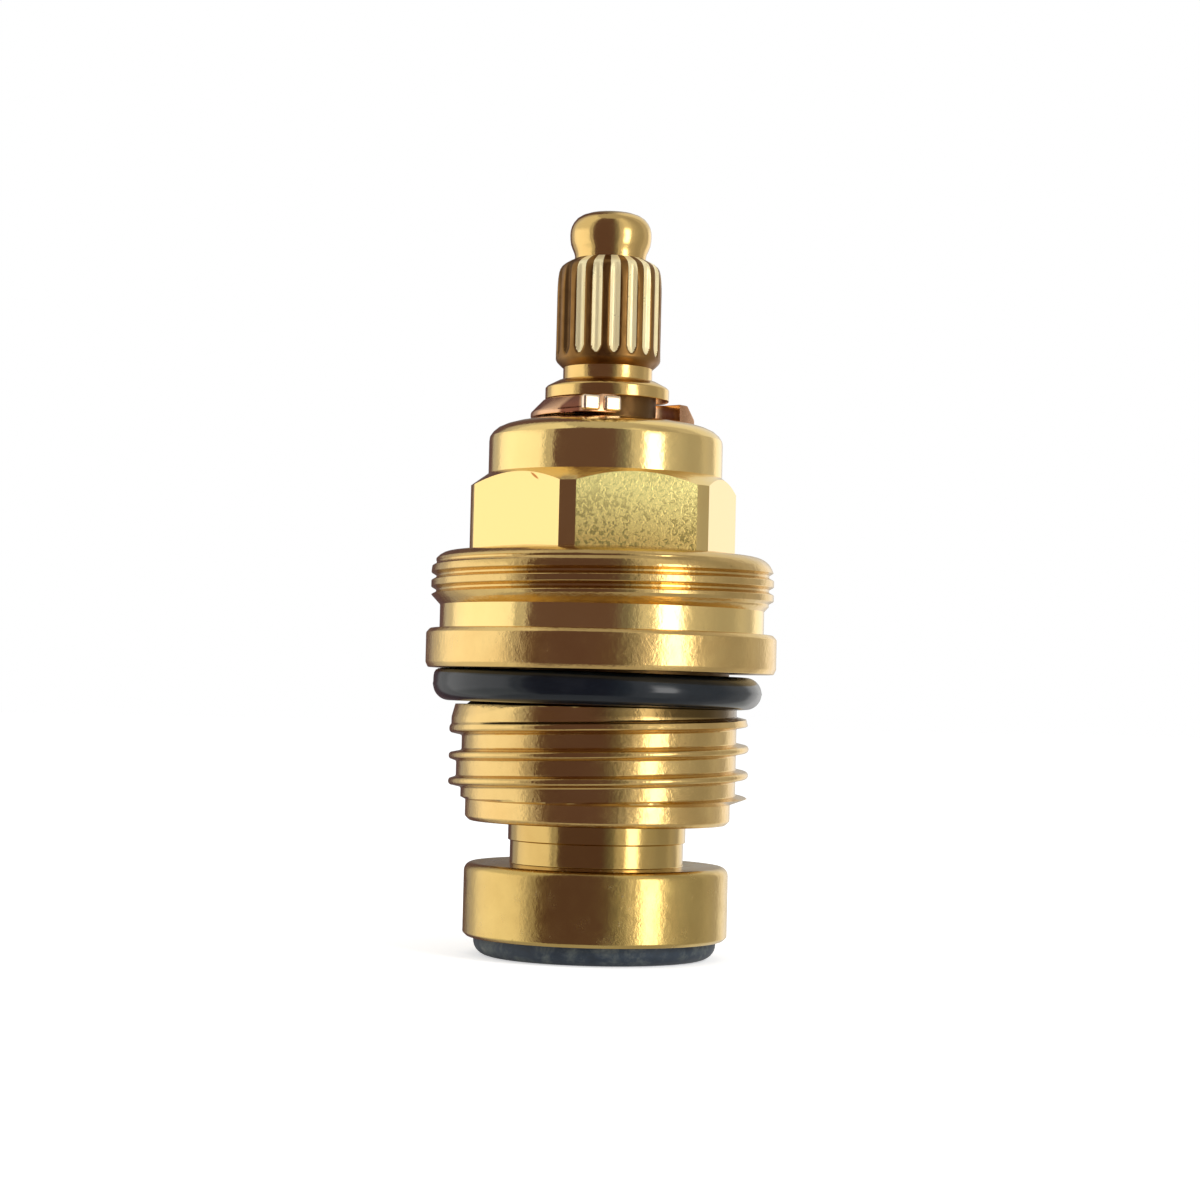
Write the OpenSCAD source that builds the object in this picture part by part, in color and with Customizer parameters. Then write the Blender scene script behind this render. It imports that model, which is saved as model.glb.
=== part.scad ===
// Compression faucet cartridge with a non-rising splined spindle, in millimetres.
// The axis is Z and the origin is the centre of the seat washer's sealing face.
// The spindle turns without rising. Its left-hand screw lifts or lowers the piston,
// which a hexagonal guide inside the body keeps from turning.
// Screw threads are drawn as plain cylinders at their major diameter.

/* [Seat washer and its screw] */
// Diameter of the rubber seat washer
washer_d = 16.9; // [16:0.1:18]
// Thickness of the seat washer
washer_t = 3.2; // [2.5:0.1:4]
// How far the washer stands out of its cup
washer_proud = 1.3; // [0.6:0.1:1.8]
// Rounding of the washer's sealing edge
washer_round = 1; // [0.1:0.05:1.2]
// Major diameter of the washer screw
screw_d = 4; // [3:0.5:5]
// Length of the screw below its head
screw_l = 5.3; // [4:0.1:7]
// Diameter of the screw head
screw_head_d = 7; // [6:0.1:8]
// Thickness of the screw head
screw_head_t = 1.3; // [1:0.1:1.5]
// Depth of the head below the sealing face
screw_sunk = 0.4; // [0.2:0.05:0.6]
// Width of the screwdriver slot
slot_w = 1; // [0.6:0.1:1.4]
// Depth of the screwdriver slot
slot_deep = 0.7; // [0.4:0.05:0.8]

/* [Piston] */
// Wall of the cup round the seat washer
cup_wall = 0.7; // [0.5:0.05:1.2]
// Height of the piston's disc
disc_h = 5.1; // [4.5:0.1:6.5]
// Rounding of the disc's upper edge
disc_round = 0.6; // [0.2:0.1:1]
// Diameter of the piston's neck
neck_d = 12.4; // [12:0.1:13]
// Depth of the turned relief just above the disc
relief_deep = 0.15; // [0.05:0.05:0.3]
// Height of the relief
relief_h = 1.6; // [1:0.1:3]
// Length of the neck, from the disc to the sealing land
neck_l = 6.3; // [5.5:0.1:8]
// Height of the sealing land
land_h = 4.6; // [3.6:0.1:6]
// Section of the piston's O-ring
piston_ring_t = 1.6; // [1.2:0.1:1.8]
// Solid web between the nut thread and the screw hole
piston_web = 1.3; // [1:0.1:2]
// Lift of the piston from its place here to fully open
lift = 2.5; // [1.5:0.1:3.5]
// Gap that is left at the stops when fully open
stop_gap = 0.4; // [0.2:0.05:0.8]

/* [Valve body] */
// Diameter of the chamber in which the piston slides
chamber_d = 14.5; // [14.3:0.05:14.9]
// Width across flats of the piston's guide
guide_af = 12.5; // [12.3:0.05:12.55]
// Diameter of the pilot below the seat thread
pilot_d = 18.5; // [18:0.1:18.6]
// Height of the pilot
pilot_h = 1.45; // [1:0.05:3]
// Major diameter of the G1/2 seat thread
seat_thread_d = 20.955; // [20.7:0.001:20.96]
// Height of the seat thread with both its run-outs
seat_thread_h = 6.45; // [6:0.05:9]
// Height of the seat thread's lower run-out
seat_run_in_h = 0.45; // [0.3:0.05:1.2]
// Height of the seat thread's upper run-out
seat_run_out_h = 1.25; // [0.6:0.05:1.5]
// Diameter at the top of the upper run-out, beside the undercut
seat_run_out_d = 20.2; // [19:0.1:20.5]
// Diameter of the undercut that holds the flange O-ring
undercut_d = 18; // [17.6:0.1:18.3]
// Section of the flange O-ring
flange_ring_t = 2.25; // [2:0.05:2.5]
// How far off centre the flange O-ring sits
flange_ring_shift = 0.2; // [0:0.05:0.4]
// How far the low side of the flange O-ring hangs below its high side
flange_ring_drop = 0.2; // [0.1:0.02:0.5]
// Diameter of the flange's lower collar
collar_d = 24.54; // [24.3:0.02:26]
// Height of the collar
collar_h = 2.73; // [2:0.01:4]
// Broken edge of the collar
collar_edge = 0.35; // [0.1:0.05:0.5]
// Diameter of the groove above the collar
groove_d = 22.7; // [22:0.1:23.2]
// Height of the groove
groove_h = 1.65; // [1:0.05:3]
// Major diameter of the M24 x 1 escutcheon thread
top_thread_d = 24; // [23.7:0.05:24]
// Height of the escutcheon thread at full diameter
top_thread_h = 1.95; // [1.5:0.05:4]
// Height of the escutcheon thread's lower run-out
top_run_out_h = 0.7; // [0.3:0.05:1]
// Rounding of the flange's upper edge
shoulder_round = 1.1; // [0.4:0.05:1.5]
// Rise of the flange's top towards the hexagon
shoulder_rise = 0.35; // [0.1:0.05:0.6]
// Width across flats of the hexagon
hex_af = 17; // [17:0.1:18]
// Diameter to which the hexagon's corners are turned
hex_corner_d = 19; // [18.4:0.1:19.4]
// Height of the hexagon, from the flange to the bonnet
hex_h = 5.15; // [4:0.05:8]
// Height of the chamfer on the hexagon's corners
hex_chamfer_h = 0.95; // [0.5:0.05:1.5]
// Diameter of the bonnet
bonnet_d = 16.4; // [15.6:0.1:16.8]
// Height of the bonnet above the hexagon
bonnet_h = 3.9; // [3:0.1:6]
// Rounding of the bonnet's upper edge
bonnet_round = 2.25; // [0.4:0.05:2.4]
// Length of the spindle's bore, from the thrust shoulder to the bonnet's top
spindle_bore_l = 6.9; // [6:0.1:8]

/* [Spindle] */
// Diameter of the journal in the bonnet
journal_d = 8.7; // [8.4:0.05:9.2]
// Major diameter of the left-hand screw
drive_d = 8; // [7:0.1:8.2]
// Height of the thrust collar
thrust_h = 1.7; // [1.2:0.1:2.5]
// Thickness of the low-friction thrust washer
thrust_washer_t = 0.8; // [0.5:0.05:1.2]
// Section of the two spindle O-rings
spindle_ring_t = 1.3; // [1:0.05:1.4]
// Distance of each O-ring groove from the end of the spindle's bore
ring_inset = 1; // [0.6:0.05:1.2]
// Journal left above the retaining clip
journal_lip = 1; // [0.7:0.05:2]
// Height of the cone above the journal
journal_cone_h = 0.4; // [0.2:0.05:0.8]
// Diameter of the waist below the spline
waist_d = 6.26; // [5.8:0.02:6.3]
// Height of the waist
waist_h = 0.9; // [0.6:0.1:2]
// Number of spline teeth
spline_teeth = 18; // [16:1:22]
// Diameter over the spline's teeth
spline_d = 7.36; // [7.2:0.02:8]
// Depth of the spline's teeth
spline_deep = 0.5; // [0.3:0.05:0.6]
// Length of the spline
spline_l = 7.7; // [6:0.1:12]
// Height of the rounding at the top of the teeth
spline_nose_h = 0.9; // [0.4:0.05:1.2]
// Height of the chamfer at the foot of the teeth
spline_foot_h = 0.55; // [0.3:0.05:1]
// Direction of one groove of the spline, from +X
spline_turn = 3; // [0:1:20]
// Diameter of the groove below the knob
knob_neck_d = 5; // [4.6:0.02:5.3]
// Diameter of the knob at the spindle's end
knob_d = 5.7; // [5.5:0.02:6.2]
// Height of the knob's widest place above the spline
knob_rise = 1.7; // [1:0.05:2.5]
// Height of the dome above the knob's widest place
dome_h = 1.65; // [1:0.05:2.5]

/* [Retaining clip] */
// Thickness of the clip
clip_t = 1.3; // [0.8:0.05:1.6]
// Depth of the clip's groove in the journal
clip_deep = 0.9; // [0.5:0.05:1]
// Width of the clip's band at its foot
clip_band = 2.1; // [1.6:0.05:2.4]
// Height of the clip's upright outer edge, below the bevel
clip_edge = 0.4; // [0.2:0.05:0.6]
// Reach of the clip's arms past the axis
clip_reach = 3.85; // [3:0.05:4.2]

/* [Clearances] */
// Radial clearance of the piston in its guide and chamber
slide_gap = 0.07; // [0.04:0.01:0.1]
// Clearance of the spindle, its washer and its clip
run_gap = 0.05; // [0.03:0.01:0.1]
// Clearance round each O-ring
seal_gap = 0.04; // [0.02:0.01:0.08]
// Radial clearance of the screw threads
thread_gap = 0.05; // [0.03:0.01:0.1]

/* [Hidden] */
$fn = 96;

// Direction in which the clip opens and in which the flange O-ring hangs low, from +X
clip_facing = -51;
ring_low_side = -15;
small_edge = 0.3;
past = 1; // how far a cut runs past a face

// Levels from the sealing face up, with the piston as far open as it is drawn
disc_z = washer_proud;
neck_z = disc_z + disc_h;
open_gap = lift + stop_gap;
body_z = neck_z + open_gap;
seat_thread_z = body_z + pilot_h;
undercut_z = seat_thread_z + seat_thread_h;
flange_ring_room = flange_ring_t + flange_ring_drop + 2 * seal_gap;
collar_z = undercut_z + flange_ring_room;
groove_z = collar_z + collar_h;
top_run_out_z = groove_z + groove_h;
top_thread_z = top_run_out_z + top_run_out_h;
shoulder_z = top_thread_z + top_thread_h;
flange_top_z = shoulder_z + shoulder_round;
hex_z = flange_top_z + shoulder_rise;
bonnet_z = hex_z + hex_h;
bonnet_top_z = bonnet_z + bonnet_h;
clip_z = bonnet_top_z + 2 * run_gap;
journal_top_z = clip_z + clip_t + journal_lip;
waist_z = journal_top_z + journal_cone_h;
spline_z = waist_z + waist_h;
knob_z = spline_z + spline_l;
knob_mid_z = knob_z + knob_rise;

// Levels inside the body
bore_z = bonnet_top_z - spindle_bore_l;
thrust_washer_z = bore_z - run_gap - thrust_washer_t;
thrust_z = thrust_washer_z - run_gap - thrust_h;
land_z = neck_z + neck_l;
land_top_z = land_z + land_h;
guide_z = land_top_z + open_gap;
piston_top_z = thrust_z - open_gap;
screw_seat_z = screw_sunk + screw_head_t;
screw_end_z = screw_seat_z + screw_l;
nut_z = screw_end_z + thread_gap + piston_web;
drive_end_z = nut_z + open_gap;

// Radii that follow from mating sizes
cup_r = washer_d / 2 + slide_gap;
disc_r = cup_r + cup_wall;
land_r = chamber_d / 2 - slide_gap;
piston_af = guide_af - 2 * slide_gap;
nut_r = drive_d / 2 + thread_gap;
screw_hole_r = screw_d / 2 + thread_gap;
head_hole_r = screw_head_d / 2 + thread_gap;
bore_r = journal_d / 2 + run_gap;
thrust_r = guide_af / 2 - run_gap;
clip_groove_r = journal_d / 2 - clip_deep;
clip_inner_r = clip_groove_r + run_gap;
spline_root_r = spline_d / 2 - spline_deep;
piston_ring_r = chamber_d / 2 - seal_gap - piston_ring_t / 2;
spindle_ring_r = bore_r - seal_gap - spindle_ring_t / 2;
flange_ring_r = undercut_d / 2 + flange_ring_shift + seal_gap + flange_ring_t / 2;
lower_ring_z = bore_z + ring_inset + spindle_ring_t / 2 + seal_gap;
upper_ring_z = bonnet_top_z - ring_inset - spindle_ring_t / 2 - seal_gap;
piston_ring_z = land_z + land_h / 2;

// Points along an arc, from angle a to angle b
function arc(centre, r, a, b, steps = 8) =
    [for (i = [0:steps]) let (t = a + (b - a) * i / steps) centre + r * [cos(t), sin(t)]];

// A solid turned about Z from [radius, height] points
module turned(points) {
    rotate_extrude() polygon(points);
}

// A hexagonal bar with flats facing +Y and -Y
module hex_bar(af, z, h) {
    translate([0, 0, z]) cylinder(h = h, d = af / cos(30), $fn = 6);
}

module o_ring(r, section) {
    rotate_extrude() translate([r, 0]) circle(d = section, $fn = 48);
}

// Groove for an O-ring that seals outwards
module ring_groove(ring_r, section, z) {
    half = section / 2 + seal_gap;
    turned([[ring_r - half, z - half], [ring_r + section + past, z - half],
        [ring_r + section + past, z + half], [ring_r - half, z + half]]);
}

module valve_body_outside() {
    pilot_r = pilot_d / 2;
    thread_r = seat_thread_d / 2;
    collar_r = collar_d / 2;
    top_r = top_thread_d / 2;
    turned(concat([
        [0, body_z], [pilot_r - small_edge, body_z], [pilot_r, body_z + small_edge],
        [pilot_r, seat_thread_z],
        [thread_r, seat_thread_z + seat_run_in_h],
        [thread_r, undercut_z - seat_run_out_h],
        [seat_run_out_d / 2, undercut_z],
        [undercut_d / 2, undercut_z],
        [undercut_d / 2, collar_z],
        [collar_r - collar_edge, collar_z], [collar_r, collar_z + collar_edge],
        [collar_r, groove_z - collar_edge], [collar_r - collar_edge, groove_z],
        [groove_d / 2, groove_z],
        [groove_d / 2, top_run_out_z],
        [top_r, top_thread_z]],
        arc([top_r - shoulder_round, shoulder_z], shoulder_round, 0, 90),
        [[hex_af / 2, hex_z], [0, hex_z]]));
    intersection() {
        hex_bar(hex_af, flange_top_z - small_edge, bonnet_z - flange_top_z + small_edge);
        turned([[0, flange_top_z - small_edge], [hex_corner_d / 2, flange_top_z - small_edge],
            [hex_corner_d / 2, bonnet_z - hex_chamfer_h], [bonnet_d / 2, bonnet_z], [0, bonnet_z]]);
    }
    turned(concat([[0, bonnet_z - small_edge], [bonnet_d / 2, bonnet_z - small_edge]],
        arc([bonnet_d / 2 - bonnet_round, bonnet_top_z - bonnet_round], bonnet_round, 0, 90),
        [[0, bonnet_top_z]]));
}

module valve_body() {
    chamber_r = chamber_d / 2;
    color("goldenrod")
    difference() {
        valve_body_outside();
        translate([0, 0, body_z - past]) cylinder(h = guide_z - body_z + past, r = chamber_r);
        turned([[0, body_z - small_edge], [chamber_r + 2 * small_edge, body_z - small_edge],
            [chamber_r, body_z + small_edge], [0, body_z + small_edge]]);
        hex_bar(guide_af, guide_z - past, bore_z - guide_z + past);
        translate([0, 0, bore_z - past]) cylinder(h = spindle_bore_l + 2 * past, r = bore_r);
    }
}

module piston() {
    neck_r = neck_d / 2;
    color("gold")
    difference() {
        union() {
            turned(concat([
                [0, disc_z], [disc_r - small_edge, disc_z], [disc_r, disc_z + small_edge]],
                arc([disc_r - disc_round, neck_z - disc_round], disc_round, 0, 90),
                [[neck_r - relief_deep, neck_z], [neck_r - relief_deep, neck_z + relief_h],
                [neck_r, neck_z + relief_h],
                [neck_r, land_z], [land_r - small_edge, land_z], [land_r, land_z + small_edge],
                [land_r, land_top_z - small_edge], [land_r - small_edge, land_top_z],
                [0, land_top_z]]));
            intersection() {
                hex_bar(piston_af, land_z + past, piston_top_z - land_z - past);
                turned([[0, land_z], [land_r, land_z], [land_r, piston_top_z - small_edge],
                    [land_r - 2 * small_edge, piston_top_z], [0, piston_top_z]]);
            }
        }
        // Cup for the seat washer, and the tapped hole for its screw
        translate([0, 0, disc_z - past]) cylinder(h = washer_t - disc_z + past, r = cup_r);
        cylinder(h = screw_end_z + thread_gap, r = screw_hole_r);
        // Nut for the spindle's screw
        translate([0, 0, nut_z]) cylinder(h = piston_top_z - nut_z + past, r = nut_r);
        turned([[0, piston_top_z - small_edge], [nut_r, piston_top_z - small_edge],
            [nut_r + 2 * small_edge, piston_top_z + small_edge], [0, piston_top_z + small_edge]]);
        ring_groove(piston_ring_r, piston_ring_t, piston_ring_z);
    }
}

module piston_o_ring() {
    color("dimgray") translate([0, 0, piston_ring_z]) o_ring(piston_ring_r, piston_ring_t);
}

module seat_washer() {
    color("slategray")
    difference() {
        turned(concat([[0, 0]],
            arc([washer_d / 2 - washer_round, washer_round], washer_round, -90, 0),
            [[washer_d / 2, washer_t], [0, washer_t]]));
        translate([0, 0, -past]) cylinder(h = screw_seat_z + past, r = head_hole_r);
        cylinder(h = washer_t + past, r = screw_hole_r);
    }
}

module washer_screw() {
    color("goldenrod")
    difference() {
        turned([[0, screw_sunk], [screw_head_d / 2 - small_edge, screw_sunk],
            [screw_head_d / 2, screw_sunk + small_edge], [screw_head_d / 2, screw_seat_z],
            [screw_d / 2, screw_seat_z], [screw_d / 2, screw_end_z - small_edge],
            [screw_d / 2 - small_edge, screw_end_z], [0, screw_end_z]]);
        translate([-screw_head_d, -slot_w / 2, screw_sunk - past])
            cube([2 * screw_head_d, slot_w, past + slot_deep]);
    }
}

// Outline of the spline. Each tooth is four corners: the share of the pitch, and 1 at the crest
module spline_outline() {
    tooth = [[0.08, 0], [0.28, 1], [0.72, 1], [0.92, 0]];
    polygon([for (i = [0:spline_teeth - 1], corner = tooth)
        let (r = spline_root_r + spline_deep * corner[1],
            a = spline_turn + 360 / spline_teeth * (i + corner[0]))
        [r * cos(a), r * sin(a)]]);
}

// Ends of the teeth: a chamfer at the foot and a rounding in two slopes at the top
module spline_ends() {
    tip_r = spline_d / 2;
    turned([[0, spline_z - past], [waist_d / 2, spline_z - past], [waist_d / 2, spline_z],
        [tip_r, spline_z + spline_foot_h], [tip_r, knob_z - 2 * spline_nose_h],
        [tip_r - spline_deep / 6, knob_z - spline_nose_h],
        [tip_r - spline_deep / 2, knob_z - spline_nose_h / 2], [knob_neck_d / 2, knob_z], [0, knob_z]]);
}

// Knob with a waisted foot and a flattened dome
module knob() {
    neck_r = knob_neck_d / 2;
    foot = acos(neck_r / (knob_d / 2));
    turned(concat([[0, knob_z - small_edge], [neck_r, knob_z - small_edge]],
        [for (t = [-foot:foot / 4:-1]) [knob_d / 2 * cos(t), knob_mid_z + knob_rise * sin(t) / sin(foot)]],
        [for (t = [0:10:90]) [knob_d / 2 * pow(cos(t), 0.8), knob_mid_z + dome_h * pow(sin(t), 0.9)]]));
}

module spindle() {
    journal_r = journal_d / 2;
    drive_r = drive_d / 2;
    color("darkgoldenrod")
    difference() {
        union() {
            turned([[0, drive_end_z], [drive_r - 2 * small_edge, drive_end_z],
                [drive_r, drive_end_z + 2 * small_edge], [drive_r, thrust_z],
                [thrust_r - small_edge, thrust_z], [thrust_r, thrust_z + small_edge],
                [thrust_r, thrust_z + thrust_h], [journal_r, thrust_z + thrust_h],
                [journal_r, journal_top_z - small_edge / 2],
                [journal_r - small_edge / 2, journal_top_z], [waist_d / 2 + small_edge, waist_z],
                [waist_d / 2, waist_z], [waist_d / 2, spline_z], [0, spline_z]]);
            intersection() {
                translate([0, 0, spline_z - past]) linear_extrude(spline_l + past) spline_outline();
                spline_ends();
            }
            knob();
        }
        ring_groove(spindle_ring_r, spindle_ring_t, lower_ring_z);
        ring_groove(spindle_ring_r, spindle_ring_t, upper_ring_z);
        turned([[clip_groove_r, clip_z - run_gap], [journal_r + past, clip_z - run_gap],
            [journal_r + past, clip_z + clip_t + run_gap], [clip_groove_r, clip_z + clip_t + run_gap]]);
    }
}

module thrust_washer() {
    color("white") translate([0, 0, thrust_washer_z]) difference() {
        cylinder(h = thrust_washer_t, r = thrust_r);
        translate([0, 0, -past]) cylinder(h = thrust_washer_t + 2 * past, r = bore_r);
    }
}

module spindle_o_ring_lower() {
    color("dimgray") translate([0, 0, lower_ring_z]) o_ring(spindle_ring_r, spindle_ring_t);
}

module spindle_o_ring_upper() {
    color("dimgray") translate([0, 0, upper_ring_z]) o_ring(spindle_ring_r, spindle_ring_t);
}

// Section of the clip's band: upright inside, with a bevel outside
module clip_section() {
    polygon([[clip_inner_r, 0], [clip_inner_r + clip_band, 0], [clip_inner_r + clip_band, clip_edge],
        [clip_inner_r + clip_band / 2, clip_t], [clip_inner_r, clip_t]]);
}

module retaining_clip() {
    color("peru") translate([0, 0, clip_z]) rotate([0, 0, clip_facing]) {
        rotate([0, 0, 90]) rotate_extrude(angle = 180) clip_section();
        for (side = [0, 1]) mirror([0, side, 0])
            rotate([90, 0, 90]) linear_extrude(clip_reach) clip_section();
    }
}

// The ring touches the flange on its high side and hangs a little lower on the other
module flange_o_ring() {
    tilt = asin(flange_ring_drop / (2 * flange_ring_r));
    color("darkslategray")
    translate([0, 0, collar_z - seal_gap - (flange_ring_t + flange_ring_drop) / 2])
        rotate([0, 0, ring_low_side]) translate([-flange_ring_shift, 0, 0]) rotate([0, tilt, 0])
            o_ring(flange_ring_r, flange_ring_t);
}

valve_body();
spindle();
thrust_washer();
spindle_o_ring_lower();
spindle_o_ring_upper();
retaining_clip();
piston();
piston_o_ring();
seat_washer();
washer_screw();
flange_o_ring();
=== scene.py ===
import math

import bmesh
import bpy
from mathutils import Matrix, Quaternion, Vector


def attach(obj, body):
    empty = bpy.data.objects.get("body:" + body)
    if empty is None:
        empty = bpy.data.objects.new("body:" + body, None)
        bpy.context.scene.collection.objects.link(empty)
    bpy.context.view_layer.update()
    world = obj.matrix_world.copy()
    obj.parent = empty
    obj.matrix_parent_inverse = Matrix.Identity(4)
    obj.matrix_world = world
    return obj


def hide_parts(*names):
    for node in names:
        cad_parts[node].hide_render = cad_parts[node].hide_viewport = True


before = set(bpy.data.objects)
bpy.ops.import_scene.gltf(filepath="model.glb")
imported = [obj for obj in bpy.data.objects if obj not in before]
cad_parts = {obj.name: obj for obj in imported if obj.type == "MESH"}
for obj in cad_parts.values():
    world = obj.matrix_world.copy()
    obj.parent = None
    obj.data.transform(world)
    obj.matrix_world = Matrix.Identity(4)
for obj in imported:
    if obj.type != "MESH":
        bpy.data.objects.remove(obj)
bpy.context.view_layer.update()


# Valve body
# One forged brass blank, turned all over but for its six hexagon flats, with a G1/2 seat thread
# below and a fine M24 escutcheon thread on the flange. All heights are from the sealing face, and
# sizes are in millimetres.
MM = 0.001
NEARLY_STRAIGHT = math.radians(155)  # a blunter corner isn't eased


def eased(profile, size):
    """A lathe profile whose sharp corners are eased by short arcs."""
    points = [Vector(p) for p in profile]
    made = [points[0]]
    for before, corner, after in zip(points, points[1:], points[2:]):
        back, on = before - corner, after - corner
        if back.angle(on) > NEARLY_STRAIGHT:
            made.append(corner)
            continue
        reach = min(size, back.length * 0.4, on.length * 0.4)
        start, end = corner + back.normalized() * reach, corner + on.normalized() * reach
        pull = math.sin(back.angle(on) / 2)
        for t in (0, 0.25, 0.5, 0.75, 1):
            shares = (1 - t) ** 2, 2 * pull * t * (1 - t), t ** 2
            made.append((shares[0] * start + shares[1] * corner + shares[2] * end) / sum(shares))
    return [tuple(p) for p in made + [points[-1]]]


def rounded(centre, radius, start, end, steps=8):
    """Points of a rounding, from one angle to another, in degrees."""
    turns = [math.radians(start + (end - start) * i / steps) for i in range(steps + 1)]
    return [(centre[0] + radius * math.cos(t), centre[1] + radius * math.sin(t)) for t in turns]


def lathe(profile, steps=120, closed=False, material=0):
    """Turns a profile of (radius, height) about the axis."""
    shell = bmesh.new()
    corners = [shell.verts.new((r * MM, 0, z * MM)) for r, z in profile]
    pairs = list(zip(corners, corners[1:])) + ([(corners[-1], corners[0])] if closed else [])
    lines = [shell.edges.new(pair) for pair in pairs]
    bmesh.ops.spin(shell, geom=corners + lines, axis=(0, 0, 1), cent=(0, 0, 0),
                   angle=math.tau, steps=steps, use_merge=True)
    for face in shell.faces:
        face.material_index = material
    return shell


def only(kind, geometry):
    """The vertices, edges or faces among what a bmesh operator made."""
    return [element for element in geometry if isinstance(element, kind)]


def radius_on(envelope, z):
    """Radius of an envelope of (height, radius) corners at one height."""
    for (z0, r0), (z1, r1) in zip(envelope, envelope[1:]):
        if z <= z1:
            return r0 + (r1 - r0) * max(0.0, (z - z0) / (z1 - z0))
    return envelope[-1][1]


def cut_thread(form, pitch, depth, envelope, crest_z, steps=120, hand=1, shallow_at=(), material=0):
    """Sweeps one pitch of a thread form along its helix, trimmed to a turned envelope.

    The form is in shares of the pitch and the depth. A groove is cut only to a share of its depth
    where it comes within half a millimetre or so of a height in shallow_at.
    """
    low, high = envelope[0][0], envelope[-1][0]
    crest = max(r for z, r in envelope)
    turns = math.ceil((high - low) / pitch) + 3
    start = crest_z - pitch * math.ceil((crest_z - low) / pitch + 1.5)
    shell = bmesh.new()
    corners = [shell.verts.new(((crest - depth * d) * MM, 0, (start + pitch * u) * MM))
               for u, d in form]
    lines = [shell.edges.new(pair) for pair in zip(corners, corners[1:])]
    bmesh.ops.spin(shell, geom=corners + lines, axis=(0, 0, 1), cent=(0, 0, 0),
                   dvec=(0, 0, hand * pitch * MM / steps), angle=math.tau, steps=steps)
    one_turn = [*shell.verts, *shell.edges, *shell.faces]
    for turn in range(1, turns):
        copy = bmesh.ops.duplicate(shell, geom=one_turn)["geom"]
        bmesh.ops.translate(shell, verts=only(bmesh.types.BMVert, copy),
                            vec=(0, 0, turn * pitch * MM))
    bmesh.ops.remove_doubles(shell, verts=shell.verts, dist=1e-7)
    for vert in shell.verts:
        radius, z = math.hypot(vert.co.x, vert.co.y) / MM, vert.co.z / MM
        crest_here = crest_z + pitch * (math.atan2(vert.co.y, vert.co.x) % math.tau) / math.tau
        groove = crest_here + pitch * (math.floor((z - crest_here) / pitch + 1e-4) + 0.5)
        for level, least in shallow_at:
            cut = min(1.0, max(least, (abs(groove - level) - 0.1) / 0.5))
            radius = crest - (crest - radius) * cut
        z = min(max(z, low), high)
        wanted = min(radius, radius_on(envelope, z))
        scale = wanted * MM / math.hypot(vert.co.x, vert.co.y)
        vert.co = (vert.co.x * scale, vert.co.y * scale, z * MM)
    # What lies past the envelope's ends is pressed flat there, and is taken off
    ends = [f for f in shell.faces
            if max(v.co.z for v in f.verts) - min(v.co.z for v in f.verts) < 1e-9]
    bmesh.ops.delete(shell, geom=ends, context="FACES")
    for face in shell.faces:
        face.material_index = material
    return shell


def cut_hexagon(shell, reach, material=0):
    """Cuts a turned shell to a hexagon, whose flats have a material of their own."""
    for side in range(6):
        turn = math.radians(60 * side + 30)
        out = Vector((math.cos(turn), math.sin(turn), 0))
        cut = bmesh.ops.bisect_plane(shell, geom=[*shell.verts, *shell.edges, *shell.faces],
                                     plane_co=out * reach * MM, plane_no=out, clear_outer=True)
        rim = only(bmesh.types.BMEdge, cut["geom_cut"])
        for face in bmesh.ops.holes_fill(shell, edges=rim, sides=0)["faces"]:
            face.material_index = material
    return shell


def finish_piece(shells, name, body, *materials, replaces, slot, sharp=24):
    """Joins a piece's shells, marks edges sharper than an angle and hangs it on its body."""
    data = bpy.data.meshes.new(name)
    mesh = bmesh.new()
    for shell in shells:
        shell.to_mesh(data)
        shell.free()
        mesh.from_mesh(data)
    bmesh.ops.remove_doubles(mesh, verts=mesh.verts, dist=2e-7)
    bmesh.ops.dissolve_degenerate(mesh, edges=mesh.edges, dist=1e-7)
    bmesh.ops.recalc_face_normals(mesh, faces=mesh.faces)
    for face in mesh.faces:
        face.smooth = True
    for edge in mesh.edges:
        edge.smooth = edge.calc_face_angle(0.0) < math.radians(sharp)
    mesh.to_mesh(data)
    mesh.free()
    for material in materials:
        data.materials.append(material)
    piece = bpy.data.objects.new(name, data)
    bpy.context.scene.collection.objects.link(piece)
    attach(piece, body)
    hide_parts(*replaces)


def opaque(colour):
    """A colour, or a grey that is given as one number, with its alpha."""
    return (*colour, 1) if hasattr(colour, "__len__") else (colour, colour, colour, 1)


def fill_ramp(ramp, stops):
    """Sets the first and the last stop of a colour ramp and adds the others between them."""
    ends = [ramp.elements[0], ramp.elements[1]]
    for element, (position, colour) in zip(ends, (stops[0], stops[-1])):
        element.position = position
        element.color = opaque(colour)
    for position, colour in stops[1:-1]:
        ramp.elements.new(position).color = opaque(colour)


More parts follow.
